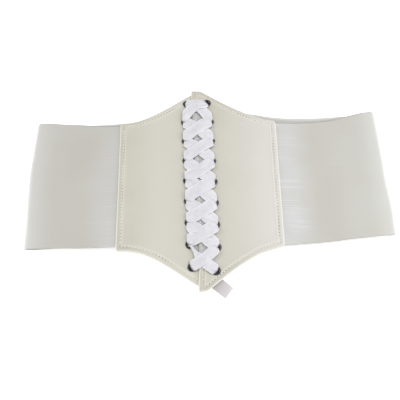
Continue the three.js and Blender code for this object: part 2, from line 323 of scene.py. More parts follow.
def spline(values, share):
    """Smooth curve through evenly spaced values, for shares from 0 to 1."""
    place = np.clip(share, 0, 1) * (len(values) - 1)
    k = np.minimum(place.astype(int), len(values) - 2)
    padded = np.concatenate([values[:1], values, values[-1:]])
    before, start, end, after = (padded[k + i] for i in range(4))
    t = place - k
    bend = (2 * before - 5 * start + 4 * end - after) * t**2 + (3 * start - before - 3 * end + after) * t**3
    return start + ((end - before) * t + bend) / 2


def lengths_along(points):
    steps = np.linalg.norm(np.diff(points, axis=0), axis=1)
    return np.concatenate([[0], np.cumsum(steps)])


def resample(points, step):
    """Evenly spaced points of a smooth curve through the given points."""
    lengths = lengths_along(points)
    count = max(2, round(lengths[-1] / step) + 1)
    wanted = np.linspace(0, lengths[-1], count)
    slopes = np.gradient(points, lengths, axis=0)
    k = np.clip(np.searchsorted(lengths, wanted) - 1, 0, len(lengths) - 2)
    span = (lengths[k + 1] - lengths[k])[:, None]
    t = ((wanted - lengths[k]) / span[:, 0])[:, None]
    start, end = points[k], points[k + 1]
    return (
        (2 * t**3 - 3 * t**2 + 1) * start
        + (t**3 - 2 * t**2 + t) * span * slopes[k]
        + (3 * t**2 - 2 * t**3) * end
        + (t**3 - t**2) * span * slopes[k + 1]
    )


def graded(length, border, fine, coarse):
    """Places from 0 to length, close together along both borders."""
    near = np.arange(0, border, fine)
    middle = np.linspace(border, length - border, max(2, round((length - 2 * border) / coarse)))
    return np.concatenate([near, middle, length - near[::-1]])


# Making meshes


def sheet_object(name, top, bottom, bulge, material, masks):
    """A closed sheet between two grids of points, with a rounded rim; masks are stored on its points."""
    count_u, count_v = top.shape[:2]
    index = np.arange(count_u * count_v).reshape(count_u, count_v)
    rim = np.concatenate([index[:-1, 0], index[-1, :-1], index[:0:-1, -1], index[0, :0:-1]])
    flat_top, flat_bottom = top.reshape(-1, 3), bottom.reshape(-1, 3)
    inward = np.roll(flat_top[rim], 1, axis=0) - np.roll(flat_top[rim], -1, axis=0)
    through = flat_top[rim] - flat_bottom[rim]
    outward = np.cross(through, inward)
    outward *= bulge / np.maximum(np.linalg.norm(outward, axis=1, keepdims=True), TINY)
    side = (flat_top[rim] + flat_bottom[rim]) / 2 + outward
    points = np.concatenate([flat_top, flat_bottom, side])
    a, b, c, d = index[:-1, :-1], index[1:, :-1], index[1:, 1:], index[:-1, 1:]
    quads = np.stack([a, b, c, d], axis=-1).reshape(-1, 4)
    offset, start = index.size, 2 * index.size
    ring = np.arange(len(rim)) + start
    following = np.roll(ring, -1)
    rim_next = np.roll(rim, -1)
    faces = np.concatenate(
        [
            quads,
            quads[:, ::-1] + offset,
            np.stack([rim, ring, following, rim_next], axis=-1),
            np.stack([ring, rim + offset, rim_next + offset, following], axis=-1),
        ]
    )
    piece = mesh_object(name, points, faces, [material])
    for label, values in masks.items():
        flat = values.reshape(-1)
        store_mask(piece, label, np.concatenate([flat, flat, flat[rim]]))
    return piece


def mesh_object(name, points, faces, materials):
    mesh = bpy.data.meshes.new(name)
    mesh.from_pydata([tuple(p) for p in points], [], [tuple(int(i) for i in f) for f in faces])
    mesh.shade_smooth()
    for material in materials:
        mesh.materials.append(material)
    piece = bpy.data.objects.new(name, mesh)
    bpy.context.collection.objects.link(piece)
    return piece


def store_mask(piece, label, values):
    piece.data.attributes.new(label, "FLOAT", "POINT").data.foreach_set("value", values)


def joined(parts):
    """Points and faces of many small meshes as one."""
    points, faces, offset = [], [], 0
    for part_points, part_faces in parts:
        points.append(part_points)
        faces += [[i + offset for i in face] for face in part_faces]
        offset += len(part_points)
    return np.concatenate(points), faces


def tube_part(path, radii, sides, up):
    """Round bar through a few points, closed at both ends."""
    points, faces = [], []
    for k, (place, radius) in enumerate(zip(path, radii)):
        ahead = path[min(k + 1, len(path) - 1)] - path[max(k - 1, 0)]
        across = np.cross(ahead, up)
        across /= np.linalg.norm(across)
        lift = np.cross(across, ahead)
        lift /= np.linalg.norm(lift)
        for angle in np.linspace(0, 2 * math.pi, sides, endpoint=False):
            points.append(place + radius * (math.cos(angle) * across + math.sin(angle) * lift))
    for k in range(len(path) - 1):
        for j in range(sides):
            a, b = k * sides + j, k * sides + (j + 1) % sides
            faces.append([a, a + sides, b + sides, b])
    faces.append(list(range(sides)))
    faces.append([(len(path) - 1) * sides + j for j in range(sides)][::-1])
    return np.array(points), faces


# One stitch: places along it, with its height over the sheet and its thickness there in the thread's radii
STITCH = [
    {"along": 0.1, "height": -0.6, "radius": 0.6},
    {"along": 0.2, "height": 0.5, "radius": 0.95},
    {"along": 0.5, "height": 0.9, "radius": 1},
    {"along": 0.8, "height": 0.5, "radius": 0.95},
    {"along": 0.9, "height": -0.6, "radius": 0.6},
]

# A needle hole's lower end, upper end and radius, in the thread's radii
NEEDLE_HOLE = {"bottom": -1.5, "top": 0.15, "radius": 1.4}
THREAD_SIDES, HOLE_SIDES, PUNCH_SIDES = 6, 8, 32
PUNCH_REACH = 5 * MM
UP = np.array([0, 0, 1.0])


def stitch_line(name, path, settings, materials, height):
    """A row of thread stitches along a path, each between two needle holes."""
    places = resample(path, settings.pitch)
    radius = settings.thread / 2
    threads, holes = [], []
    for start, end in zip(places[:-1], places[1:]):
        along = end - start
        points = [start + along * k["along"] + UP * (height + radius * k["height"]) for k in STITCH]
        threads.append(tube_part(np.array(points), [radius * k["radius"] for k in STITCH], THREAD_SIDES, UP))
        # Each needle hole is a dark tube of painted shade
        depth = [start + UP * (height + radius * NEEDLE_HOLE[which]) for which in ("bottom", "top")]
        ahead = along / np.linalg.norm(along)
        holes.append(tube_part(np.array(depth), [radius * NEEDLE_HOLE["radius"]] * 2, HOLE_SIDES, ahead))
    points, faces = joined(threads + holes)
    piece = mesh_object(name, points, faces, materials)
    dark_from = sum(len(part[1]) for part in threads)
    for polygon in piece.data.polygons[dark_from:]:
        polygon.material_index = 1
    return piece


def cut_holes(piece, centres, radius):
    """Punches round holes down through a piece."""
    reach = UP * PUNCH_REACH
    side = np.array([1.0, 0, 0])
    ends = [np.array([centre - reach, centre + reach]) for centre in centres]
    punch = mesh_object("punch", *joined([tube_part(e, [radius] * 2, PUNCH_SIDES, side) for e in ends]), [])
    modifier = piece.modifiers.new("Holes", "BOOLEAN")
    modifier.object = punch
    modifier.operation = "DIFFERENCE"
    modifier.solver = "EXACT"
    graph = bpy.context.evaluated_depsgraph_get()
    cut = bpy.data.meshes.new_from_object(piece.evaluated_get(graph))
    piece.modifiers.clear()
    piece.data = cut
    bpy.data.objects.remove(punch)


def dress(piece, slot, *nodes):
    """The piece moves with the belt and stands for its solids, if any, which are hidden; slot is not used.
    """
    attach(piece, "root")
    if nodes:
        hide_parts(*nodes)


# Materials

# Scales of the textures are features per metre, and depths of the bumps are metres


class Shader:
    """A node material with short calls for its usual nodes."""

    def __init__(self, name):
        self.material = bpy.data.materials.new(name)
        self.material.use_nodes = True
        self.nodes = self.material.node_tree.nodes
        self.links = self.material.node_tree.links
        self.surface = self.nodes["Principled BSDF"]
        self.place = self.add("ShaderNodeTexCoord").outputs["Object"]

    def add(self, kind, **values):
        node = self.nodes.new(kind)
        for name, value in values.items():
            setattr(node, name, value)
        return node

    def connect(self, source, target):
        self.links.new(source, target)

    def set(self, **values):
        for name, value in values.items():
            self.surface.inputs[name.replace("_", " ")].default_value = value

    def stretched(self, scale):
        node = self.add("ShaderNodeMapping")
        self.connect(self.place, node.inputs["Vector"])
        node.inputs["Scale"].default_value = scale
        return node.outputs["Vector"]

    def noise(self, scale, detail=3, vector=None, roughness=0.5):
        node = self.add("ShaderNodeTexNoise")
        self.connect(vector or self.place, node.inputs["Vector"])
        node.inputs["Scale"].default_value = scale
        node.inputs["Detail"].default_value = detail
        node.inputs["Roughness"].default_value = roughness
        return node.outputs["Fac"]

    def cells(self, scale):
        node = self.add("ShaderNodeTexVoronoi", feature="DISTANCE_TO_EDGE")
        self.connect(self.place, node.inputs["Vector"])
        node.inputs["Scale"].default_value = scale
        return node.outputs["Distance"]

    def waves(self, scale, direction, distortion=0.0, detail=1.0):
        node = self.add("ShaderNodeTexWave", bands_direction=direction)
        self.connect(self.place, node.inputs["Vector"])
        node.inputs["Scale"].default_value = scale
        node.inputs["Distortion"].default_value = distortion
        node.inputs["Detail"].default_value = detail
        return node.outputs["Fac"]

    def mask(self, name):
        return self.add("ShaderNodeAttribute", attribute_name=name).outputs["Fac"]

    def spread(self, source, low, high, start=0.0, end=1.0):
        node = self.add("ShaderNodeMapRange")
        self.connect(source, node.inputs["Value"])
        for name, value in zip(("From Min", "From Max", "To Min", "To Max"), (low, high, start, end)):
            node.inputs[name].default_value = value
        return node.outputs["Result"]

    def times(self, first, second):
        node = self.add("ShaderNodeMath", operation="MULTIPLY")
        self.connect(first, node.inputs[0])
        self.connect(second, node.inputs[1])
        return node.outputs[0]

    def mix(self, share, first, second):
        """Blends two colours, each a colour value or a socket."""
        node = self.add("ShaderNodeMix", data_type="RGBA")
        self.connect(share, node.inputs[0])
        for socket, colour in ((node.inputs[6], first), (node.inputs[7], second)):
            if isinstance(colour, bpy.types.NodeSocket):
                self.connect(colour, socket)
            else:
                socket.default_value = (*colour, 1)
        return node.outputs[2]

    def bump(self, *layers):
        """Stacks height patterns, each a (source, strength, depth in metres)."""
        normal = None
        for source, strength, depth in layers:
            node = self.add("ShaderNodeBump")
            node.inputs["Strength"].default_value = strength
            node.inputs["Distance"].default_value = depth
            self.connect(source, node.inputs["Height"])
            if normal:
                self.connect(normal, node.inputs["Normal"])
            normal = node.outputs["Normal"]
        self.connect(normal, self.surface.inputs["Normal"])


def shade(colour, factor, warmth=0.0):
    """A darker or lighter colour, warmer or cooler by a small share."""
    factors = factor * (1 + warmth), factor, factor * (1 - warmth)
    return tuple(min(value * each, 1) for value, each in zip(colour, factors))


def leather_material(settings):
    shader = Shader("Coated leather")
    base = tuple(settings.colour)
    clouds = shader.spread(shader.noise(28), 0.35, 0.65)
    tone = shader.mix(clouds, shade(base, 0.96, 0.015), shade(base, 1.03))
    speckle = shader.spread(shader.noise(1500, detail=2), 0.4, 0.75)
    tone = shader.mix(speckle, tone, shade(base, 0.93, 0.01))
    # Painted shade in the stitched groove and a painted shadow line along the edge
    tone = shader.mix(shader.mask("groove_shade_and_rib_lines"), tone, shade(base, 0.62, 0.01))
    # Painted highlight towards the right panel's outer edge
    tone = shader.mix(shader.mask("right_highlight"), tone, tuple(settings.highlight_colour))
    tone = shader.mix(shader.mask("lit"), tone, shade(base, 1.05, -0.006))
    # Painted highlights on the rounded rim and on a line past the stitches
    tone = shader.mix(shader.mask("hem_highlights"), tone, shade(base, 1.45))
    tone = shader.mix(shader.mask("laced"), tone, tuple(settings.laced_colour))
    shader.connect(tone, shader.surface.inputs["Base Color"])
    rough = shader.spread(shader.noise(60, detail=4), 0.3, 0.7, 0.4, 0.54)
    shader.connect(rough, shader.surface.inputs["Roughness"])
    shader.set(Coat_Weight=0.2, Coat_Roughness=0.3, Specular_IOR_Level=0.55)
    grain = shader.spread(shader.cells(950), 0.0, 0.35)
    shader.bump((grain, 0.22, 0.00012), (shader.noise(320, detail=5), 0.3, 0.00025))
    return shader.material


def thread_material(settings):
    shader = Shader("Sewing thread")
    base = tuple(settings.thread_colour)
    tone = shader.mix(shader.noise(900), shade(base, 0.85), shade(base, 1.08))
    shader.connect(tone, shader.surface.inputs["Base Color"])
    shader.set(Roughness=0.7, Sheen_Weight=0.2, Sheen_Roughness=0.4)
    shader.bump((shader.waves(1800, "DIAGONAL"), 0.5, 0.0001))
    return shader.material


# Painted shade: the needle holes are dark tubes standing for the shade in them
def needle_hole_shade_material(settings):
    shader = Shader("Needle hole shade")
    base = tuple(settings.colour)
    tone = shader.mix(shader.noise(700), shade(base, 0.12, 0.1), shade(base, 0.24, 0.1))
    shader.connect(tone, shader.surface.inputs["Base Color"])
    shader.set(Roughness=0.9)
    return shader.material


def elastic_material(settings):
    shader = Shader("Ribbed elastic")
    base = tuple(settings.colour)
    patches = shader.spread(shader.noise(22, detail=2), 0.35, 0.65)
    tone = shader.mix(patches, shade(base, 0.97, 0.02), shade(base, 1.02))
    streaks = shader.noise(1, detail=3, vector=shader.stretched((20, 640, 20)))
    fine = shader.times(shader.spread(streaks, 0.55, 0.68), shader.mask("ribbed"))
    # Darker, yellower middle of the band
    tone = shader.mix(shader.spread(shader.mask("middle"), 0, 1, 0, 0.8), tone, shade(base, 0.92, 0.04))
    cool = tuple(settings.seam_highlight_colour)
    # Painted highlight, bluish white, on the ribbed part near the seams
    tone = shader.mix(shader.mask("ribbed"), tone, cool)
    tone = shader.mix(shader.spread(fine, 0, 1, 0, 0.75), tone, shade(cool, 1.2))
    # Paler lines along the grooves of the gathered ribs
    tone = shader.mix(shader.spread(shader.mask("groove_shade_and_rib_lines"), 0, 1, 0, 0.5), tone, shade(cool, 1.2))
    # Painted highlight on the fold and on the strip beside it
    tone = shader.mix(shader.mask("fold"), tone, shade(cool, 1.3))
    tone = shader.mix(shader.mask("shadowed"), tone, shade(base, 0.55, 0.03))
    # Painted light on the back layer's upper strip
    tone = shader.mix(shader.mask("selvedge_and_lit_strip"), tone, shade(cool, 1.35))
    shader.connect(tone, shader.surface.inputs["Base Color"])
    shader.connect(shader.spread(streaks, 0.3, 0.7, 0.6, 0.48), shader.surface.inputs["Roughness"])
    shader.set(Sheen_Weight=0.3, Sheen_Roughness=0.35)
    cords = shader.waves(325, "Y", distortion=0.4)
    knots = shader.waves(420, "X", distortion=1.5, detail=2)
    shader.bump((cords, 0.12, 0.00012), (knots, 0.1, 0.00008), (shader.noise(1400), 0.15, 0.00008))
    return shader.material


def satin_material(settings):
    shader = Shader("Satin ribbon")
    base = tuple(settings.colour)
    threads = shader.waves(1400, "DIAGONAL", distortion=2, detail=2)
    folds = shader.spread(shader.noise(170, detail=3), 0.35, 0.65)
    tone = shader.mix(folds, shade(base, 0.98), shade(base, 1.03))
    tone = shader.mix(shader.mask("selvedge_and_lit_strip"), tone, shade(base, 1.3))
    # Painted shade on the tail, strongest where it leaves the panel
    tone = shader.mix(shader.mask("shaded"), tone, shade(base, 0.64, 0.075))
    # Painted shade where a strand dives into an eyelet and near the eyelets behind the panels
    tone = shader.mix(shader.mask("eyelet_shade"), tone, shade(base, 0.18))
    shader.connect(tone, shader.surface.inputs["Base Color"])
    rough = shader.spread(shader.noise(380, detail=2), 0.3, 0.7, 0.36, 0.5)
    shader.connect(rough, shader.surface.inputs["Roughness"])
    shader.set(Sheen_Weight=0.35, Sheen_Roughness=0.3, Specular_IOR_Level=0.4)
    shader.set(Subsurface_Weight=0.25, Subsurface_Radius=(1, 1, 1), Subsurface_Scale=0.0012)
    shader.bump((threads, 0.12, 0.00006), (shader.noise(240, detail=4), 0.35, 0.0003))
    return shader.material


def nickel_material(settings):
    shader = Shader("Nickel")
    smudges = shader.spread(shader.noise(420, detail=4), 0.3, 0.7)
    # Painted shade and painted dark reflections: both nickel tones are almost black
    tone = shader.mix(smudges, tuple(settings.colour), tuple(settings.smudged_colour))
    shader.connect(tone, shader.surface.inputs["Base Color"])
    shader.connect(shader.spread(smudges, 0, 1, 0.2, 0.38), shader.surface.inputs["Roughness"])
    shader.set(Metallic=1.0)
    shader.bump((shader.noise(1900, detail=3), 0.12, 0.00005))
    return shader.material


def table_material(settings):
    shader = Shader("Table top")
    base = tuple(settings.table_colour)
    tone = shader.mix(shader.noise(4), base, shade(base, 1.01))
    shader.connect(tone, shader.surface.inputs["Base Color"])
    shader.set(Roughness=0.8, Emission_Color=(*base, 1), Emission_Strength=settings.table_glow)
    return shader.material


# Front panels and closure

# Grid of a hemmed sheet: width of its finer border beside the hem's, the share of the rows in that border,
# and the fine and coarse steps of rows and columns
BORDER_WIDTH = 1.35
BORDER_SHARE = 0.075
ROW_STEPS = 0.006, 0.021
COLUMN_STEPS = 0.55 * MM, 2.3 * MM

# Relief of the coating: its rounded rim, the stitched groove with a dimple at each stitch, the step where
# the hem ends, the level of the whole, and its broad and small unevenness
RIM_RADIUS = 0.75 * MM
RIM_BULGE = 0.25 * MM
LOWER_ROUNDING = 0.3
GROOVE_WIDTH = 0.55 * MM
GROOVE_DEPTH = 0.3 * MM
DIMPLE_DEPTH = 0.14 * MM
HEM_STEP = 0.16 * MM
HEM_SOFTNESS = 0.5 * MM
COATING_LEVEL = -0.2 * MM
UNEVENNESS = [
    {"height": 0.22 * MM, "size": 26 * MM, "seed": 1},
    {"height": 0.07 * MM, "size": 7 * MM, "seed": 2},
]

# Painted shade in the stitched groove, and soft lines along the edge, a painted shadow and a painted
# highlight: strength, distance from the edge or from the stitches and width; the painted highlight on the
# rim fades between two distances from the edge
GROOVE_SHADE = 0.35
SHADOW_LINE = {"strength": 0.3, "place": 2 * MM, "width": 0.5 * MM}
HEM_HIGHLIGHT_LINE = {"strength": 0.4, "place": 1.4 * MM, "width": 0.5 * MM}
RIM_HIGHLIGHT = {"strength": 0.9, "start": 0.2 * MM, "end": 1.2 * MM}

# Where the coating gets painted shade under the lace: half the laced strip's width and how softly it ends,
# and how far from a panel's edges the painted light starts and ends
LACED_HALF_WIDTH = 9 * MM
LACED_SHARPNESS = 6
SOFT_END = 8 * MM
HIGHLIGHT_PAST_EDGE = 6 * MM
LIT_END = 36 * MM


def columns(settings, length):
    """Places of a sheet's columns, closer together along both hems."""
    return graded(length, settings.hem * BORDER_WIDTH, *COLUMN_STEPS)


def sheet_plan(settings, shape, across):
    """Plan of a sheet's grid, and how far each of its points is from the sheet's edge."""
    us, vs = np.meshgrid(across, graded(1, BORDER_SHARE, *ROW_STEPS), indexing="ij")
    tops, bottoms = shape.top_y(us), shape.bottom_y(us)
    span = tops - bottoms
    border = settings.hem * BORDER_WIDTH
    near_low = np.minimum(vs, BORDER_SHARE) / BORDER_SHARE * border
    near_high = np.minimum(1 - vs, BORDER_SHARE) / BORDER_SHARE * border
    middle = (vs - BORDER_SHARE) / (1 - 2 * BORDER_SHARE)
    from_bottom = np.where(vs < BORDER_SHARE, near_low, border + middle * (span - 2 * border))
    from_bottom = np.where(vs > 1 - BORDER_SHARE, span - near_high, from_bottom)
    ys = bottoms + from_bottom
    xs = shape.place_x(us, ys)
    slope_top = np.gradient(tops, axis=0) / np.gradient(xs, axis=0)
    slope_bottom = np.gradient(bottoms, axis=0) / np.gradient(xs, axis=0)
    to_top = (tops - ys) / np.sqrt(1 + slope_top**2)
    to_bottom = (ys - bottoms) / np.sqrt(1 + slope_bottom**2)
    to_ends = np.minimum(np.abs(xs - xs[:1]), np.abs(xs - xs[-1:]))
    return xs, ys, np.minimum(np.minimum(to_top, to_bottom), to_ends)


def leather_relief(settings, xs, ys, edge):
    """Relief of the coating, the rounding of its rim and the strength of its stitched groove."""
    inside = np.maximum(RIM_RADIUS - edge, 0)
    rounding = RIM_RADIUS - np.sqrt(np.maximum(RIM_RADIUS**2 - inside**2, 0))
    groove = bell(edge, settings.inset, GROOVE_WIDTH)
    step = 1 - smoothstep(edge, settings.hem - HEM_SOFTNESS, settings.hem + HEM_SOFTNESS)
    ripple = 0.5 + 0.5 * np.sin((xs + ys) * 2 * math.pi / settings.pitch)
    relief = COATING_LEVEL - rounding - groove * (GROOVE_DEPTH + DIMPLE_DEPTH * ripple) + HEM_STEP * step
    flat = np.stack([xs, ys, np.zeros_like(xs)], axis=-1)
    for humps in UNEVENNESS:
        relief += humps["height"] * soft_noise(flat, humps["size"], humps["seed"])
    return relief, rounding, groove


def leather_masks(side, settings, xs, ys, edge, groove):
    """Where the coating gets painted shade in its groove and painted highlights along its hem, and where a
    front panel's gets painted shade under the lace and painted light.
    """
    line, hem_light, rim = SHADOW_LINE, HEM_HIGHLIGHT_LINE, RIM_HIGHLIGHT
    # Painted shade in the groove and a painted shadow line; painted highlights on the rim and past the
    # stitches
    masks = {
        "groove_shade_and_rib_lines": GROOVE_SHADE * groove + line["strength"] * bell(edge, line["place"], line["width"]),
        "hem_highlights": rim["strength"] * (1 - smoothstep(edge, rim["start"], rim["end"]))
        + hem_light["strength"] * bell(edge, settings.inset + hem_light["place"], hem_light["width"]),
    }
    masks |= {label: np.zeros_like(xs) for label in ("laced", "right_highlight", "lit")}
    # Painted shade under the lace, painted highlight towards the right panel's outer edge, and painted light
    # on the left panel away from its outer edge
    if side:
        first_row, last_row = eyelet_centre("right", 1).y, eyelet_centre("left", ROWS).y
        between = smoothstep(ys, last_row, last_row + SOFT_END) * smoothstep(first_row - ys, 0, SOFT_END)
        off_line = np.abs(xs - lacing_x(ys)) / LACED_HALF_WIDTH
        masks["laced"] = np.exp(-(off_line**LACED_SHARPNESS)) * between
    if side == "right":
        masks["right_highlight"] = smoothstep(xs, lacing_x(0) + SOFT_END, xs.max() + HIGHLIGHT_PAST_EDGE)
    if side == "left":
        masks["lit"] = smoothstep(xs, xs.min() + SOFT_END, xs.min() + LIT_END)
    return masks


def sewn_sheet(name, side, settings, shape, across, leather):
    """A hemmed sheet of coated leather, whose columns stand at the given shares of its width."""
    xs, ys, edge = sheet_plan(settings, shape, across)
    relief, rounding, groove = leather_relief(settings, xs, ys, edge)
    surface = shape.height(xs)
    top = np.stack([xs, ys, surface + relief], axis=-1)
    bottom = np.stack([xs, ys, surface - settings.thickness + LOWER_ROUNDING * rounding], axis=-1)
    masks = leather_masks(side, settings, xs, ys, edge, groove)
    if np.cross(top[1, 0] - top[0, 0], top[0, 1] - top[0, 0])[2] < 0:
        top, bottom = top[::-1], bottom[::-1]
        masks = {label: values[::-1] for label, values in masks.items()}
    return sheet_object(name, top, bottom, RIM_BULGE, leather, masks)


# How far the panels' top and bottom edges rise over the solids' plain curves, from a panel's inner edge
# to its outer edge, and how far the right panel's lower end reaches sideways, in millimetres
EDGE_RISE = {
    "left": {"top": [0, 0], "bottom": [0, 0, 0.45, 1.15, 0.85, 0.1]},
    "right": {
        "top": [0, -0.65, -0.85, -0.2, 0, 0],
        "bottom": [0.3, -4.6, -4.4, -3.5, -2.6, -1.8, -1.0, 0, -0.2, 0, 0],
    },
}
END_REACH = 1.8

# Share of the way down at which that end starts to reach, and share of the width that it takes
END_START = 0.7
END_SHARE = 0.3


def panel_shape(side, settings):
    """A front panel's outline and height, from its shares of the way out from the lacing line."""
    node = f"{side}_front_panel"
    low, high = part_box(node)
    outer = high.x if side == "right" else low.x
    inner = low.x if side == "right" else high.x
    lap_y = high.y if side == "right" else low.y
    first = (inner - lacing_x(lap_y)) / (outer - lacing_x(lap_y))
    width = abs(outer - lacing_x(0))
    top_curve = edge_curve(node, outer, 1, settings.thickness)
    bottom_curve = edge_curve(node, outer, -1, settings.thickness)
    xs, zs = top_profile(node, (eyelet_centre(side, 4).y + eyelet_centre(side, 5).y) / 2)

    def corner_trim(share):
        inside = np.maximum(settings.corner - (1 - share) * width, 0)
        return settings.corner - np.sqrt(settings.corner**2 - inside**2)

    def hidden(share):
        return np.clip(1 - share * width / settings.lap, 0, 1) if side == "left" else np.zeros_like(share)

    def rise(edge, share):
        return MM * spline(EDGE_RISE[side][edge], (share - first) / (1 - first))

    def top_y(share):
        return top_curve(share) + rise("top", share) - corner_trim(share) - settings.tuck_top * hidden(share)

    def bottom_y(share):
        tuck = settings.tuck_bottom * hidden(share)
        return bottom_curve(share) + rise("bottom", share) + corner_trim(share) + tuck

    def place_x(share, y):
        lowered = smoothstep(-y, END_START * -low.y, -low.y)
        reach = END_REACH * MM * lowered * (1 - smoothstep(share, 0, END_SHARE))
        return lacing_x(y) * (1 - share) + outer * share - (reach if side == "right" else 0)

    def height(x):
        return np.interp(x, xs, zs)

    return SimpleNamespace(
        first=first, width=width, top_y=top_y, bottom_y=bottom_y, place_x=place_x, height=height
    )


# Points measured along a panel's slanting edges and along its upright ones
HEM_SAMPLES, UPRIGHT_SAMPLES = 60, 40


def hem_runs(shape, inset, with_inner):
    """Lines of stitches round a panel: its top, its outer edge, its bottom and perhaps its inner edge."""
    start = shape.first + (inset / shape.width if with_inner else 0)
    shares = np.linspace(start, 1 - inset / shape.width, HEM_SAMPLES)

    def run(xs, ys):
        return np.stack([xs, ys, shape.height(xs)], axis=-1)

    def slanting(edge_y, direction):
        slope = np.gradient(edge_y(shares), shares * shape.width)
        ys = edge_y(shares) + direction * inset * np.sqrt(1 + slope**2)
        return run(shape.place_x(shares, ys), ys)

    def upright(a, b):
        ends = np.linspace(a[:2], b[:2], UPRIGHT_SAMPLES)[1:-1]
        return run(ends[:, 0], ends[:, 1])

    upper, lower = slanting(shape.top_y, -1), slanting(shape.bottom_y, 1)
    runs = [upper, upright(upper[-1], lower[-1]), lower[::-1]]
    return runs + [upright(lower[0], upper[0])] if with_inner else runs


# Heights of the two kinds of seam over their sheets, an eyelet hole's radius in widths of the eyelet, the
# closure's two seams as shares of its width, and the room between the closure and their thread
PANEL_SEAM, CLOSURE_SEAM = -0.35 * MM, 0.05 * MM
EYELET_HOLE = 0.36
CLOSURE_SEAMS = 0.12, 0.88
SEAM_ROOM = 0.3 * MM


class BELT_OT_front_panels(bpy.types.Operator):
    """Builds the two laced front panels with their hems, stitches and eyelet holes."""

    bl_idname = "belt.front_panels"
    bl_label = "Front panels"

    def execute(self, context):
        settings = context.scene.belt_leather
        leather = leather_material(settings)
        threads = [thread_material(settings), needle_hole_shade_material(settings)]
        for side in SIDES:
            shape = panel_shape(side, settings)
            across = shape.first + columns(settings, (1 - shape.first) * shape.width) / shape.width
            piece = sewn_sheet(f"{side}_panel_leather", side, settings, shape, across, leather)
            low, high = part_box(f"{side}_eyelet_1")
            centres = [np.array(eyelet_centre(side, row)) for row in range(1, ROWS + 1)]
            cut_holes(piece, centres, (high.x - low.x) * EYELET_HOLE)
            dress(piece, "faux_leather", f"{side}_front_panel")
            for number, run in enumerate(hem_runs(shape, settings.inset, side == "right"), 1):
                seam = stitch_line(f"{side}_panel_stitches_{number}", run, settings, threads, PANEL_SEAM)
                dress(seam, "faux_leather")
        return {"FINISHED"}


class BELT_OT_closure(bpy.types.Operator):
    """Builds the plain strip at the back that joins the two elastic ends."""

    bl_idname = "belt.closure"
    bl_label = "Back closure"

    def execute(self, context):
        settings = context.scene.belt_leather
        leather = leather_material(settings)
        threads = [thread_material(settings), needle_hole_shade_material(settings)]
        low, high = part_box("back_closure")
        width = high.x - low.x
        shape = SimpleNamespace(
            top_y=lambda share: np.full_like(share, high.y),
            bottom_y=lambda share: np.full_like(share, low.y),
            place_x=lambda share, y: low.x + share * width,
            height=lambda x: np.full_like(x, high.z),
        )
        across = columns(settings, width) / width
        piece = sewn_sheet("closure_leather", None, settings, shape, across, leather)
        dress(piece, "faux_leather", "back_closure")
        elastic_top = high.z + context.scene.belt_elastic.thickness + SEAM_ROOM
        ys = np.linspace(low.y + settings.inset, high.y - settings.inset, UPRIGHT_SAMPLES)
        for number, share in enumerate(CLOSURE_SEAMS, 1):
            xs = np.full_like(ys, low.x + share * width)
            run = np.stack([xs, ys, np.full_like(ys, elastic_top)], axis=-1)
            seam = stitch_line(f"closure_stitches_{number}", run, settings, threads, CLOSURE_SEAM)
            dress(seam, "faux_leather")
        return {"FINISHED"}


# Elastic bands

# From the top of a band to the bottom: how far its fold bulges outwards and how strong its ribs are; from
# the panel to the fold: how far the upper edge of its front layer rises; lengths in millimetres
BAND_SHAPES = {
    "left": {
        "bulge": [-0.3, 1.2, 2.5, 1.9, 0.8, 0.9],
        "ribbing": [0.2, 0.6],
        "rise": [0, -0.3, 0.9, 1.7, 1.4, 1.9],
    },
    "right": {
        "bulge": [0.9, 1.2, 1.6, 1.4, 2.6, 1.9],
        "ribbing": [1, 0.9],
        "rise": [0.5, 0.5, 0.3, -0.4, 0.9, 1.1],
    },
}
BAND_STEP = 2.2 * MM
STEPS_PER_RIB = 4

# Rim of a band: how much thinner it is and over which width, how far it wobbles, over which width and in
# humps of which size, and how far the edge of the weave bulges
THIN_RIM, THIN_WIDTH = 0.35 * MM, 0.9 * MM
RIM_WOBBLE, WOBBLE_WIDTH, WOBBLE_SIZE = 0.25 * MM, 8 * MM, 12 * MM
WEAVE_BULGE = 0.12 * MM

# Broad waves of a band: height, size of the humps, and the length at each end that stays plain
WAVE_HEIGHT, WAVE_SIZE, PLAIN_END = 1.3 * MM, 38 * MM, 30 * MM

# Least strength of the gathered ribs and what the seam adds to it; level, spread and size of the patches
# in which they are drawn tighter
RIB_LEAST, RIB_GAIN = 0.05, 0.95
TENSION, TENSION_SPREAD, TENSION_SIZE = 0.62, 0.38, 13 * MM

# Heights over the table: below the first a layer is the back one, above the second it is the front one;
# and the least gap to the table
BACK_LEVEL, FRONT_LEVEL = 2 * MM, 6 * MM
TABLE_GAP = 0.05 * MM

# Share of a band's reach at which its fold starts, and width and strength of the painted highlight on the
# strip beside it
FOLD_START, FOLD_STRIP, FOLD_HIGHLIGHT = 0.7, 24 * MM, 0.25

# Strength of the painted shadow on the front layer's upper rim and of the painted light on the back layer's
# upper strip, and the drops over which each ends; level, spread and size of the patches in the darker,
# yellower middle
RIM_SHADE, BACK_STRIP_LIGHT = 0.8, 0.5
RIM_SHADE_END, BACK_STRIP_LIGHT_END = (0.4 * MM, 1.1 * MM), (1 * MM, 3.5 * MM)
PATCHES = {"level": 0.6, "spread": 0.6, "size": 30 * MM}


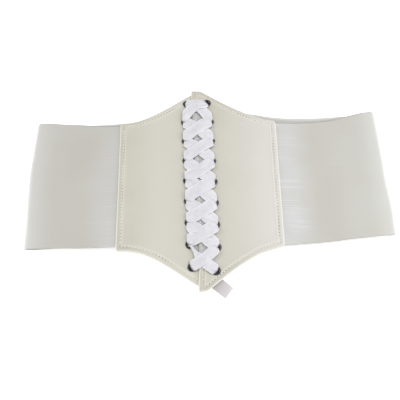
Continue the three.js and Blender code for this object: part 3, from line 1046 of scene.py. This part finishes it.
def band_frame(side, sign, settings):
    """Rims, height, column shares, middle grid and outward directions of one band along its solid."""
    node = f"{side}_elastic"
    path = resample(np.concatenate([rim_line(node, 1), rim_line(node, -1)], axis=1), BAND_STEP)
    upper, lower = path[:, None, :3], path[:, None, 3:]
    height = np.linalg.norm(upper - lower, axis=2).max()
    shares = np.linspace(0, 1, round(height / settings.rib * STEPS_PER_RIB) + 1)
    grid = upper + (lower - upper) * shares[None, :, None]
    travel = np.gradient(path[:, :3], axis=0)
    travel[:, 1] = 0
    travel /= np.linalg.norm(travel, axis=1, keepdims=True)
    normal = sign * np.stack([-travel[:, 2], np.zeros(len(path)), travel[:, 0]], axis=-1)
    return path, height, shares, grid, normal


def rib_pattern(side, sign, settings, grid, along, shares, drops):
    """Strength of the gathered ribs at each point of a band, and the grooves between them."""
    near_seam = 1 - smoothstep(along, settings.ribbed * 0.35, settings.ribbed)
    patches = soft_noise(grid * np.array([0.4, 1, 1]), TENSION_SIZE, 9 + sign)
    tension = np.clip(TENSION + TENSION_SPREAD * patches, 0, 1)
    strength = np.interp(shares, [0, 1], BAND_SHAPES[side]["ribbing"])
    ribbed = (RIB_LEAST + RIB_GAIN * near_seam[:, None]) * tension * strength
    groove = (0.5 + 0.5 * np.cos(2 * math.pi * drops / settings.rib)) ** 2
    return ribbed, groove[None, :]


def band_surfaces(side, sign, settings):
    """Outer and inner faces of one band from its seam round to the back, its masks and its flat size."""
    path, height, shares, grid, normal = band_frame(side, sign, settings)
    shape = BAND_SHAPES[side]
    drops = shares * height
    edge = np.minimum(drops, height - drops)
    along = lengths_along(path[:, :3])
    out = np.abs(path[:, 0])
    lying = smoothstep(grid[:, :, 2], BACK_LEVEL, FRONT_LEVEL)
    folded = smoothstep(out, FOLD_START * out.max(), out.max())
    ribbed, groove = rib_pattern(side, sign, settings, grid, along, shares, drops)

    ends = smoothstep(along, 0, PLAIN_END) * smoothstep(along[-1] - along, 0, PLAIN_END)
    waves = soft_noise(grid * np.array([1, 0.5, 1]), WAVE_SIZE, 3 + sign)
    wobble = RIM_WOBBLE * soft_noise(grid, WOBBLE_SIZE, 5) * (1 - smoothstep(edge, 0, WOBBLE_WIDTH))
    rolled = (1 - smoothstep(drops, 0, settings.lift_depth)) ** 2
    rise = spline(shape["rise"], (out - out[0]) / (out.max() - out[0]))
    bulge = spline(shape["bulge"], shares)
    grid = grid + normal[:, None, :] * (waves * WAVE_HEIGHT * ends[:, None] * lying)[:, :, None]
    grid[:, :, 1] += wobble + MM * rise[:, None] * rolled[None, :] * lying
    grid[:, :, 0] += sign * MM * folded[:, None] * bulge[None, :]

    relief = -settings.groove * groove * ribbed
    half = settings.thickness / 2 - THIN_RIM * (1 - smoothstep(edge, 0, THIN_WIDTH))
    outer = grid + normal[:, None, :] * (half + relief)[:, :, None]
    inner = grid - normal[:, None, :] * (half + relief * 0.5)[:, :, None]
    for surface in (outer, inner):
        surface[:, :, 2] = np.maximum(surface[:, :, 2], TABLE_GAP)

    # Darker, yellower middle
    middle = bell(along, settings.darker_middle_place, settings.darker_middle_length)
    patches = PATCHES["level"] + PATCHES["spread"] * soft_noise(grid, PATCHES["size"], 17 + sign)
    # Painted highlight on the fold and the strip beside it
    near_fold = smoothstep(out, out.max() - FOLD_STRIP, out.max()) * FOLD_HIGHLIGHT
    turned = np.maximum(smoothstep(np.abs(normal[:, 0]), 0.1, 0.9), near_fold)
    # Painted shadow on the front layer's upper rim and painted light on the back layer's upper strip
    upper_rim = RIM_SHADE * (1 - smoothstep(drops, *RIM_SHADE_END))
    upper_strip = BACK_STRIP_LIGHT * (1 - smoothstep(drops, *BACK_STRIP_LIGHT_END))
    masks = {
        "groove_shade_and_rib_lines": groove * ribbed,
        "ribbed": np.clip(ribbed, 0, 1),
        "middle": np.clip(middle[:, None] * patches, 0, 1),
        "fold": np.repeat(turned[:, None], len(drops), axis=1),
        "shadowed": upper_rim[None, :] * lying * (1 - folded[:, None]),
        "selvedge_and_lit_strip": upper_strip[None, :] * (1 - lying),
    }
    flat = (lengths_along(path[:, :3])[-1] + lengths_along(path[:, 3:])[-1]) / 2, float(height)
    return outer, inner, masks, flat


class BELT_OT_elastics(bpy.types.Operator):
    """Builds the two ribbed elastic bands, folded round to the back."""

    bl_idname = "belt.elastics"
    bl_label = "Elastic bands"

    def execute(self, context):
        settings = context.scene.belt_elastic
        material = elastic_material(settings)
        for side, sign in SIDES.items():
            outer, inner, masks, flat = band_surfaces(side, sign, settings)
            if sign > 0:
                outer, inner = outer[:, ::-1], inner[:, ::-1]
                masks = {label: values[:, ::-1] for label, values in masks.items()}
            piece = sheet_object(f"{side}_elastic_weave", outer, inner, WEAVE_BULGE, material, masks)
            dress(piece, "elastic_webbing", f"{side}_elastic")
        return {"FINISHED"}


# Lace ribbon

# Lengths are millimetres in the tables and values from here down to FACE_LEVEL

# Each crossing, from the top: how far the strand that falls to the right and the one that rises to the
# right bow upwards, their width, how far the rising one's two ends are lifted, upper end first, and how
# much the falling one's start is turned on edge
CROSSINGS = [
    {"falling": 5.6, "rising": 5.6, "width": 9.8, "lifts": (-1.8, 1.8), "twist": 0},
    {"falling": 3.0, "rising": 3.0, "width": 11.8, "lifts": (0, 1.8), "twist": 0},
    {"falling": 2.0, "rising": 2.0, "width": 11.0, "lifts": (0, 1.8), "twist": 0},
    {"falling": -0.5, "rising": -0.5, "width": 11.8, "lifts": (0, 1.8), "twist": 0},
    {"falling": 2.6, "rising": 2.6, "width": 12.0, "lifts": (0, 1.8), "twist": 0},
    {"falling": 0.4, "rising": 0.4, "width": 12.2, "lifts": (0, 1.8), "twist": 0},
    {"falling": 0.2, "rising": 0.2, "width": 12.4, "lifts": (0, 1.8), "twist": 0},
    {"falling": -2.8, "rising": -1.8, "width": 10.0, "lifts": (0, 0), "twist": 0.8},
]

# The ribbon's ends at each row of eyelets: distance inwards from an eyelet's middle, and width
LACE_ENDS = [
    {"left": -1.9, "right": 0.3, "width": 6.8},
    {"left": -2.4, "right": -2.1, "width": 9.2},
    {"left": -1.9, "right": -2.4, "width": 9.0},
    {"left": -1.8, "right": -1.8, "width": 9.0},
    {"left": -1.8, "right": -1.5, "width": 9.0},
    {"left": -2.0, "right": -1.5, "width": 9.0},
    {"left": -1.8, "right": -1.6, "width": 9.0},
    {"left": -1.6, "right": -0.6, "width": 9.0},
    {"left": -1.4, "right": -1.0, "width": 9.6},
]

# Strands straight across a row: distances inwards, face (1 in front, -1 behind), layer, bow and width
BARS = [
    {"row": 1, "left": -0.2, "right": 0.8, "face": 1, "layer": 0.3, "bow": -1.6, "width": 8.6},
    {"row": 1, "left": -0.2, "right": 0.8, "face": -1, "layer": 0.6, "bow": 1, "width": 7},
    {"row": ROWS, "left": -3.4, "right": -3.4, "face": -1, "layer": 0.2, "bow": 0, "width": 11.6},
]

# The crossings behind the panels: distance inwards, width and layer of the upper strand
HIDDEN = {"inward": -3.0, "width": 11.6, "layer": 1.3}

# The free end, from under the right panel outwards: its route, half its width, the step of its points, the
# height of its domed middle, the height and size of its creases, and the strength of its painted shade from
# start to end
TAIL = [
    {"x": -3.2, "y": -84.5, "z": 9.2},
    {"x": 2.3, "y": -88.7, "z": 9.0},
    {"x": 7.8, "y": -92.9, "z": 8.8},
    {"x": 11.8, "y": -96.1, "z": 8.2},
    {"x": 15.2, "y": -98.8, "z": 7.0},
]
TAIL_HALF_WIDTH = 6.0
TAIL_STEP, TAIL_DOME, TAIL_CREASES, TAIL_CREASE_SIZE = 1, 0.5, 0.35, 6
TAIL_SHADE = 1.0, 0.45

# How far outside the rows of eyelets a loop starts to be drawn in, and how far it may reach
LOOP_START, LOOP_REACH = 0.8, 2.5

# How far the start of a strand on edge is lifted, and the level of the lowest strand on each face
TWIST_LIFT = 2
FACE_LEVEL = {1: 0.45, -1: 4.4}

# Points along and across a strand and across the tail, and the seed between two kinds of strand
STRAND_STEPS, STRAND_WAYS, TAIL_WAYS = 54, 21, 17
SEED_STEP = 20

# An end's lift grows over the first distances from the end and fades over the others, and a twist fades
# over shares of the way
LIFT_GROWS, LIFT_FADES = (0, 3 * MM), (4 * MM, 15 * MM)
TWIST_FADES = 0.15, 0.5

# How far a strand's rounded end reaches along it, and how deep the rounding is in gathered widths
ROUNDED_LENGTH, ROUNDED_DEPTH = 4 * MM, 0.28

# How a strand dives into an eyelet: distance from its end, depth, and the depth at which its painted shade
# is full
DIVE_LENGTH, DIVE_DEPTH, DARK_DEPTH = 1.9 * MM, 2.6 * MM, 1.5 * MM

# Distances from an eyelet over which the painted shade on a strand behind the panels fades to nothing, and
# distances from the lacing line over which the height goes from the left panel's to the right panel's
DARK_BEHIND = 3 * MM, 8 * MM
LAP_BLEND = -8 * MM, 2 * MM

# Heights of a strand's arch, of its domed middle, of its pleats where it is gathered, of its long folds
# and of its creases, and the size of the creases
ARCH, DOME, PLEATS = 0.5 * MM, 0.35 * MM, 0.7 * MM
LONG_FOLDS, CREASES, CREASE_SIZE = 0.3 * MM, 0.34 * MM, 4.5 * MM


def kept_close(xy):
    """Draws the strands' loops in, so that they reach only a little past the rows of eyelets."""
    room = (LOOP_REACH - LOOP_START) * MM
    for side, sign in SIDES.items():
        centres = [eyelet_centre(side, row) for row in range(ROWS, 1, -1)]
        line = np.interp(xy[:, :, 1], [c.y for c in centres], [c.x for c in centres])
        beyond = sign * (xy[:, :, 0] - line) - LOOP_START * MM
        drawn = line + sign * (LOOP_START * MM + room * np.tanh(beyond / room))
        xy[:, :, 0] = np.where(beyond > 0, drawn, xy[:, :, 0])


def panel_top(x, y):
    """Height of the panels' upper surface near the lacing, blended across the lap."""
    left, right = eyelet_top("left"), eyelet_top("right")
    return left + (right - left) * smoothstep(x - lacing_x(y), *LAP_BLEND)


def across_path(plan):
    """Unit directions along and across a path seen from above."""
    travel = np.gradient(plan, axis=0)
    travel /= np.linalg.norm(travel, axis=1, keepdims=True)
    return travel, np.stack([-travel[:, 1], travel[:, 0]], axis=-1)


def strand_masks(grid, eyelet_shade=0.0, shaded=0.0):
    """Where a strand gets painted shade at an eyelet and in a panel's shade, and where its selvedges are."""
    selvedge_and_lit_strip = np.abs(np.linspace(-1, 1, grid.shape[1])) ** 9
    masks = {"selvedge_and_lit_strip": selvedge_and_lit_strip[None, :], "shaded": shaded, "eyelet_shade": eyelet_shade}
    return {label: np.broadcast_to(values, grid.shape[:2]) for label, values in masks.items()}


def strand(ends, settings, face, layer, bow, width, seed, lifts=(0, 0), gathers=None, twist=0):
    """Points and masks of one ribbon strand from an eyelet to another, with bow, width and lifts in metres.

    The strand runs in front of the panels where face is 1 and behind them where it is -1. Its ends are
    gathered to the two widths in gathers, and twist says how much its start is turned on edge.
    """
    start, end = ends
    t = 0.5 - 0.5 * np.cos(np.linspace(0, math.pi, STRAND_STEPS))
    plan = start[None, :2] * (1 - t)[:, None] + end[None, :2] * t[:, None]
    plan[:, 1] += bow * np.sin(math.pi * t)
    length = np.linalg.norm(end[:2] - start[:2])
    for lift, away in zip(lifts, (t * length, (1 - t) * length)):
        plan[:, 1] += lift * smoothstep(away, *LIFT_GROWS) * (1 - smoothstep(away, *LIFT_FADES))
    reach = lengths_along(plan)
    near = np.minimum(reach, reach[-1] - reach)
    first_half = reach < reach[-1] / 2
    travel, across = across_path(plan)
    if across[len(t) // 2, 1] < 0:
        across = -across

    closing = 1 - np.clip(near / settings.opening, 0, 1)
    opened = np.sqrt(1 - closing**2)
    narrow = np.minimum(np.where(first_half, *(gathers or (settings.gathered,) * 2)), width)
    wide = (narrow + (width - narrow) * opened) * (1 - twist * (1 - smoothstep(t, *TWIST_FADES)))
    v = np.linspace(-1, 1, STRAND_WAYS)
    xy = plan[:, None, :] + across[:, None, :] * (wide[:, None] * v[None, :] / 2)[:, :, None]
    rounding = settings.gathered * ROUNDED_DEPTH * (1 - np.sqrt(1 - v**2))
    inward = np.where(first_half, 1, -1) * np.clip(1 - near / ROUNDED_LENGTH, 0, 1)
    xy += travel[:, None, :] * (inward[:, None] * rounding[None, :])[:, :, None]
    kept_close(xy)

    bent = 1 - np.sqrt(np.maximum(1 - ((DIVE_LENGTH - near) / DIVE_LENGTH) ** 2, 0))
    dive = np.where(near < DIVE_LENGTH, DIVE_DEPTH * bent, 0)[:, None]
    level = (FACE_LEVEL[face] + layer) * MM + ARCH * np.sin(math.pi * t)[:, None]
    pleats = (1 - opened)[:, None] * PLEATS * np.cos(v * 2.5 * math.pi + seed)[None, :]
    folds = LONG_FOLDS * np.sin(v * 4 + seed)[None, :] * np.cos(t * 5 + seed)[:, None]
    grid = np.concatenate([xy, np.zeros((*xy.shape[:2], 1))], axis=-1)
    relief = pleats + CREASES * soft_noise(grid * np.array([1, 1.6, 1]), CREASE_SIZE, seed) + folds
    # Painted shade: a front strand is dark where it dives into an eyelet, a strand behind the panels near
    # the eyelets
    if face > 0:
        relief += DOME * (1 - v**2)[None, :] * opened[:, None]
        eyelet_shade = np.clip(dive / DARK_DEPTH, 0, 1)
    else:
        eyelet_shade = 1 - smoothstep(near, *DARK_BEHIND)[:, None]
    grid[:, :, 2] = panel_top(xy[:, :, 0], xy[:, :, 1]) + face * (level + relief - dive)
    return grid, strand_masks(grid, eyelet_shade=eyelet_shade)


def tail_strand():
    """Points and masks of the free end that shows below the right panel."""
    path = resample(np.array([[p["x"], p["y"], p["z"]] for p in TAIL]) * MM, TAIL_STEP * MM)
    _, across = across_path(path[:, :2])
    v = np.linspace(-1, 1, TAIL_WAYS)
    offset = TAIL_HALF_WIDTH * MM * v
    xy = path[:, None, :2] + across[:, None, :] * offset[None, :, None]
    z = path[:, 2:3] + TAIL_DOME * MM * (1 - v**2)[None, :]
    grid = np.concatenate([xy, z[:, :, None]], axis=-1)
    grid[:, :, 2] += TAIL_CREASES * MM * soft_noise(grid, TAIL_CREASE_SIZE * MM, 90)
    return grid, strand_masks(grid, shaded=np.linspace(*TAIL_SHADE, len(path))[:, None])


def hole(side, row, inward):
    """Where a strand ends in an eyelet, some millimetres inwards from the eyelet's middle."""
    place = np.array(eyelet_centre(side, row))
    place[0] -= SIDES[side] * inward * MM
    return place


def crossing_strands(row, settings):
    """The strands between a row of eyelets and the next one, in front of the panels and behind them."""
    crossing, first, last = CROSSINGS[row - 1], LACE_ENDS[row - 1], LACE_ENDS[row]
    width, full = crossing["width"] * MM, HIDDEN["width"] * MM
    gathers = first["width"] * MM, last["width"] * MM
    falling = hole("left", row, first["left"]), hole("right", row + 1, last["right"])
    rising = hole("right", row, first["right"]), hole("left", row + 1, last["left"])
    turned = (crossing["twist"] * TWIST_LIFT * MM, 0), gathers, crossing["twist"]
    lifted = tuple(lift * MM for lift in crossing["lifts"]), gathers
    inward, seeds = HIDDEN["inward"], [row + kind * SEED_STEP for kind in range(4)]
    under_falling = hole("left", row, inward), hole("right", row + 1, inward)
    under_rising = hole("right", row, inward), hole("left", row + 1, inward)
    yield strand(falling, settings, 1, 0, crossing["falling"] * MM, width, seeds[0], *turned)
    yield strand(rising, settings, 1, settings.layer / MM, crossing["rising"] * MM, width, seeds[1], *lifted)
    yield strand(under_falling, settings, -1, HIDDEN["layer"], 0, full, seeds[2])
    if row < len(CROSSINGS):
        yield strand(under_rising, settings, -1, 0, 0, full, seeds[3])


def bar_strand(bar, settings, seed):
    """One strand straight across a row; the last row's keeps its full width, as a knot's would."""
    ends = [hole(side, bar["row"], bar[side]) for side in SIDES]
    width = bar["width"] * MM
    gathers = (width, width) if bar["row"] == ROWS else None
    return strand(ends, settings, bar["face"], bar["layer"], bar["bow"] * MM, width, seed, gathers=gathers)


def ribbon_part(grid, thickness):
    """Points and faces of a ribbon strip with its edges closed."""
    rows, ways = grid.shape[:2]
    normal = np.cross(np.gradient(grid, axis=0), np.gradient(grid, axis=1))
    normal /= np.maximum(np.linalg.norm(normal, axis=-1, keepdims=True), TINY)
    turned = normal[rows // 2, ways // 2, 2] < 0
    if turned:
        normal = -normal
    top = grid + normal * thickness / 2
    bottom = grid - normal * thickness / 2
    ring = np.concatenate([top, bottom[:, ::-1]], axis=1)
    around = ring.shape[1]
    faces = []
    for k in range(rows - 1):
        for j in range(around):
            a, b = k * around + j, k * around + (j + 1) % around
            faces.append([a, b, b + around, a + around])
    faces.append(list(range(around))[::-1])
    faces.append([(rows - 1) * around + j for j in range(around)])
    return ring.reshape(-1, 3), faces if turned else [face[::-1] for face in faces]


class BELT_OT_lace(bpy.types.Operator):
    """Laces the satin ribbon through the eyelets, with its short tail."""

    bl_idname = "belt.lace"
    bl_label = "Lace ribbon"

    def execute(self, context):
        settings = context.scene.belt_ribbon
        material = satin_material(settings)
        strands = [part for row in range(1, ROWS) for part in crossing_strands(row, settings)]
        strands += [bar_strand(bar, settings, seed) for seed, bar in enumerate(BARS, 4 * SEED_STEP)]
        strands.append(tail_strand())
        points, faces = joined([ribbon_part(grid, settings.thickness) for grid, _ in strands])
        piece = mesh_object("lace_satin", points, faces, [material])
        for label in ("selvedge_and_lit_strip", "shaded", "eyelet_shade"):
            rings = [np.concatenate([m[label], m[label][:, ::-1]], axis=1).ravel() for _, m in strands]
            store_mask(piece, label, np.concatenate(rings))
        dress(piece, "satin_ribbon", "lace_ribbon")
        return {"FINISHED"}


class BELT_OT_eyelets(bpy.types.Operator):
    """Gives the eyelets a nickel finish, darkened with painted shade and painted reflections."""

    bl_idname = "belt.eyelets"
    bl_label = "Eyelets"

    def execute(self, context):
        material = nickel_material(context.scene.belt_eyelets)
        for side in SIDES:
            for row in range(1, ROWS + 1):
                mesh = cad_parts[f"{side}_eyelet_{row}"].data
                mesh.materials.clear()
                mesh.materials.append(material)
        return {"FINISHED"}


# Stage

# Area lights: place, the point that each is turned to and size in metres, power in watts, and colour
LIGHTS = {
    "Overhead": dict(place=(0, -0.45, 1.2), aim=(0, 0, 0), size=(1.2, 0.8), power=5, colour=(1, 1, 1)),
    "Left side": dict(place=(-0.9, 0, 0.42), aim=(0, 0, 0), size=(0.5, 1), power=5.8, colour=(1, 1, 1)),
    "Right side": dict(place=(0.9, 0, 0.42), aim=(0, 0, 0), size=(0.5, 1), power=6.9, colour=(0.975, 1, 1)),
    "Glow": dict(place=(0.4, 0.5, 1.15), aim=(0.08, 0, 0), size=(0.4, 0.4), power=3.4, colour=(1, 1, 1)),
}


def add_area_light(name, place, aim, size, power, colour):
    light = bpy.data.lights.new(name, "AREA")
    light.shape = "RECTANGLE"
    light.size, light.size_y = size
    light.energy = power
    light.color = colour
    lamp = bpy.data.objects.new(name, light)
    lamp.location = place
    lamp.rotation_euler = (Vector(aim) - Vector(place)).to_track_quat("-Z", "Y").to_euler()
    bpy.context.collection.objects.link(lamp)


class BELT_OT_stage(bpy.types.Operator):
    """Sets the white table, the soft studio light and the camera."""

    bl_idname = "belt.stage"
    bl_label = "Stage"

    def execute(self, context):
        settings = context.scene.belt_stage
        self.add_camera(context, settings)
        self.add_table(settings)
        self.add_daylight(context, settings)
        for name, values in LIGHTS.items():
            add_area_light(name, **values)
        return {"FINISHED"}

    def add_camera(self, context, settings):
        camera = bpy.data.cameras.new("Camera")
        camera.lens = settings.lens
        holder = bpy.data.objects.new("Camera", camera)
        tilt = Matrix.Rotation(math.pi / 2 - settings.elevation, 4, "X")
        turn = Matrix.Rotation(-settings.roll, 4, "Z")
        back = tilt @ Vector((0, 0, settings.distance))
        holder.matrix_world = Matrix.Translation(Vector(settings.aim) + back) @ tilt @ turn
        context.collection.objects.link(holder)
        context.scene.camera = holder

    def add_table(self, settings):
        half = settings.table / 2
        corners = [(-half, -half, 0), (half, -half, 0), (half, half, 0), (-half, half, 0)]
        table = mesh_object("table", corners, [(0, 1, 2, 3)], [table_material(settings)])
        table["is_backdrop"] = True

    def add_daylight(self, context, settings):
        world = bpy.data.worlds.new("Studio")
        world.use_nodes = True
        background = world.node_tree.nodes["Background"]
        background.inputs["Color"].default_value = (1, 1, 1, 1)
        background.inputs["Strength"].default_value = settings.daylight
        context.scene.world = world
        context.scene.view_settings.view_transform = "Standard"


OPERATORS = [
    BELT_OT_stage,
    BELT_OT_elastics,
    BELT_OT_closure,
    BELT_OT_front_panels,
    BELT_OT_eyelets,
    BELT_OT_lace,
]


class BELT_PT_sidebar(bpy.types.Panel):
    """Lists the belt's settings and building steps."""

    bl_idname = "BELT_PT_sidebar"
    bl_label = "Waist belt"
    bl_space_type = "VIEW_3D"
    bl_region_type = "UI"
    bl_category = "Belt"

    def draw(self, context):
        for operator in OPERATORS:
            self.layout.operator(operator.bl_idname)
        for group in SETTINGS:
            box = self.layout.box()
            values = getattr(context.scene, group)
            for name in values.__annotations__:
                box.prop(values, name)


SETTINGS = {
    "belt_leather": LeatherSettings,
    "belt_elastic": ElasticSettings,
    "belt_ribbon": RibbonSettings,
    "belt_eyelets": EyeletSettings,
    "belt_stage": StageSettings,
}


def register():
    for name, group in SETTINGS.items():
        bpy.utils.register_class(group)
        setattr(bpy.types.Scene, name, bpy.props.PointerProperty(type=group))
    for operator in OPERATORS:
        bpy.utils.register_class(operator)
    bpy.utils.register_class(BELT_PT_sidebar)


def unregister():
    bpy.utils.unregister_class(BELT_PT_sidebar)
    for operator in reversed(OPERATORS):
        bpy.utils.unregister_class(operator)
    for name, group in SETTINGS.items():
        delattr(bpy.types.Scene, name)
        bpy.utils.unregister_class(group)


def main():
    register()
    bpy.ops.belt.stage()
    bpy.ops.belt.elastics()
    bpy.ops.belt.closure()
    bpy.ops.belt.front_panels()
    bpy.ops.belt.eyelets()
    bpy.ops.belt.lace()
    sizes = {"solids": solid_bounds, "visual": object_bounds()}
    plain = {name: [list(corner) for corner in bounds] for name, bounds in sizes.items()}


if __name__ == "__main__":
    main()
